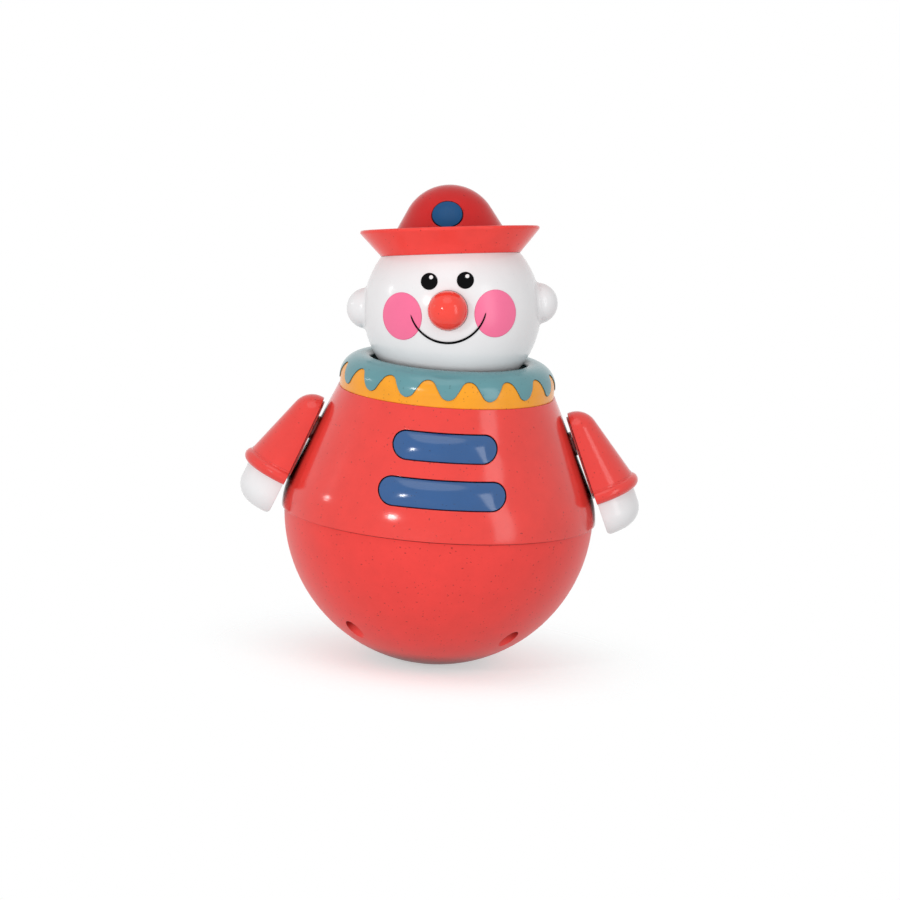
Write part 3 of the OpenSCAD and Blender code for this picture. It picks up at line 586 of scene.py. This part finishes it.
# %% [markdown]
# ## The two bars
#
# Each bar is a glossy blue pad, moulded with a crowned face and round ends, and pushed out through
# a slot in the torso from inside until its flange stops it. A pad like that is a stack of pill
# outlines: the flange's back, its edge, the neck in the slot, and then ever smaller pills that rise
# to the crown. The crown falls off gently towards both ends, as a pillow does, which keeps its
# highlights broad. Every point is first laid on the torso's slanting side and then moved along the
# side's own normal, so the pad follows the body's curve.

# %% Lay outlines on the torso
torso_top_r = 43.4 * MM
torso_cone = math.radians(24.4758)
shell_wall = 2.4 * MM
bar_h = 10.2 * MM


def on_torso(x, z, height):
    """A point on the front of the torso's side, moved out along the side's normal."""
    r = torso_top_r + (torso_h - z) * math.tan(torso_cone)
    y = -math.sqrt(r * r - x * x)
    flat = math.cos(torso_cone) / r
    normal = Vector((x * flat, y * flat, math.sin(torso_cone)))
    return Vector((x, y, seam_z + z)) + height * normal


def pill(length, r, steps=16):
    """Points round a lying pill whose straight part stays as long as the bar's."""
    end_x = (length - bar_h) / 2
    straight = [end_x - end_x * k / steps for k in range(1, 2 * steps)]
    arc = [math.radians(-90 + 180 * k / steps) for k in range(steps + 1)]
    right = [(end_x + r * math.cos(a), r * math.sin(a)) for a in arc]
    left = [(-end_x - r * math.cos(a), -r * math.sin(a)) for a in arc]
    return right + [(x, r) for x in straight] + left + [(-x, -r) for x in straight]


print("torso side leans", round(math.degrees(torso_cone), 1), "degrees")

# %% [markdown]
# ## Stacking the bars
#
# The face of a bar is part of a cylinder's round across its height, and the fourth power of the
# distance from the middle brings it down towards the ends. The flange stays hidden behind the wall,
# with a small gap, as a part that is pushed in from behind needs.

# %% Build the bars
bar_bulge = 1.7 * MM
bar_flange_w = 2 * MM
bar_flange_t = 1.6 * MM
slot_gap = 0.1 * MM
crown_rings = 12
crown_power = 4
upper_length, upper_share = 40.2 * MM, 0.708
lower_length, lower_share = 49.2 * MM, 0.364


def bar_steps():
    """Each ring's radius and height, from the flange's back to the top of the crown."""
    half = bar_h / 2
    wide = half + bar_flange_w
    crest_r = (half**2 + bar_bulge**2) / (2 * bar_bulge)
    back, front = -(shell_wall + bar_flange_t), -(shell_wall + slot_gap)
    steps = [(0, back), (wide, back), (wide, front), (half, front), (half, 0)]
    for k in range(1, crown_rings + 1):
        r = half * math.cos(math.radians(90 * k / crown_rings))
        steps.append((r, math.sqrt(crest_r**2 - r * r) - (crest_r - bar_bulge)))
    return steps


def make_bar(name, length, z):
    """A pillow bar: flange behind the wall, neck in the slot, and a crowned face."""
    rings = []
    for r, height in bar_steps():
        ring = []
        for x, up in pill(length, r):
            fall = 1 - (2 * abs(x) / length) ** crown_power if height > 0 else 1
            ring.append(on_torso(x, z + up, height * fall))
        rings.append(ring)
    bar = loft(name, rings, blue_gloss)
    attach(bar, "body")
    return bar


upper = make_bar("bar_upper_pad", upper_length, upper_share * torso_h)
lower = make_bar("bar_lower_pad", lower_length, lower_share * torso_h)
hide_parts("bar_upper")
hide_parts("bar_lower")
print("bars:", len(upper.data.polygons), "and", len(lower.data.polygons), "faces")

# %% [markdown]
# ## The ears' roots
#
# The ears are moulded in one with the halves of the head, and the mould leaves a small hollow round
# where each ear meets the ball. Both are spheres, so the hollow is a ring round the line through
# their middles: an arc that touches both spheres, swept once round that line. The ring reaches a
# little into the head, so that no slit is left behind it.

# %% Fill the ears' roots
ear_r = 0.232 * head_r
ear_out = 0.958 * head_r
ear_rise = 0.05 * head_r
root_r = 2 * MM
root_sunk = 0.3 * MM
root_steps, root_turns = 8, 64


def root_section(far):
    """The ring's section, along and away from the line to an ear whose middle is that far out."""
    u = ((head_r + root_r)**2 - (ear_r + root_r)**2 + far**2) / (2 * far)
    w = math.sqrt((head_r + root_r)**2 - u * u)
    start = math.atan2(-w, -u)
    end = math.atan2(-w, far - u)
    meet_u = (head_r**2 - ear_r**2 + far**2) / (2 * far)
    meet_w = math.sqrt(head_r**2 - meet_u**2) - root_sunk
    arc = [start + (end - start) * k / root_steps for k in range(root_steps + 1)]
    return [(u + root_r * math.cos(a), w + root_r * math.sin(a)) for a in arc] + [(meet_u, meet_w)]


def make_ear_root(name, side):
    """The hollow round between the head and one ear, as a closed ring."""
    ear = Vector((side * ear_out, 0, ear_rise))
    along = ear / ear.length
    out = Vector((0, 1, 0))
    third = along.cross(out)
    turns = [2 * math.pi * k / root_turns for k in range(root_turns)]
    ways = [math.cos(t) * out + math.sin(t) * third for t in turns]
    section = root_section(ear.length)
    rings = [[at_head @ (a * along + r * way) for way in ways] for a, r in section]
    root = loft(name, rings, white_root, closed=True)
    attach(root, "head")
    return root


roots = [make_ear_root("ear_root_left", 1), make_ear_root("ear_root_right", -1)]
print("ear roots:", [len(o.data.polygons) for o in roots], "faces")

# %% [markdown]
# ## The smile
#
# The smile is one printed stroke, a little thinner towards its ends. A flat section of four points
# follows an arc on the face, narrower near the ends, and is laid on the head's ball at the height
# of the ink. The ends close in quickly, which rounds the tips of the stroke.

# %% Draw the smile
smile_r = 0.43 * head_r
smile_z = 0.07 * head_r
smile_end = 14
smile_w = 0.9 * MM
end_share, tip_share, tip_rate = 0.55, 0.04, 14
smile_steps = 48
ink_low, ink_high = 0.19 * MM, 0.34 * MM


def on_face(x, z, height):
    """A point of the face seen from straight ahead, at a height over the head's ball."""
    r = head_r + height
    return at_head @ Vector((x, -math.sqrt(r * r - x * x - z * z), z))


def stroke_half(t):
    """Half the stroke's width, for t from -1 at one end to 1 at the other."""
    taper = end_share + (1 - end_share) * (1 - t * t)
    tip = min(1, tip_rate * (1 - abs(t))) ** 0.5
    return smile_w / 2 * max(tip_share, taper * tip)


def make_smile():
    rings = []
    for k in range(smile_steps + 1):
        half = stroke_half(2 * k / smile_steps - 1)
        angle = math.radians(180 + smile_end + (180 - 2 * smile_end) * k / smile_steps)
        ring = []
        for r, h in ((-half, ink_low), (-half, ink_high), (half, ink_high), (half, ink_low)):
            x, z = (smile_r + r) * math.cos(angle), smile_z + (smile_r + r) * math.sin(angle)
            ring.append(on_face(x, z, h))
        rings.append(ring)
    smile = loft("smile_stroke", rings, black_ink, capped=True)
    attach(smile, "head")
    return smile


smile = make_smile()
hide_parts("smile_print")
print("smile:", len(smile.data.polygons), "faces")
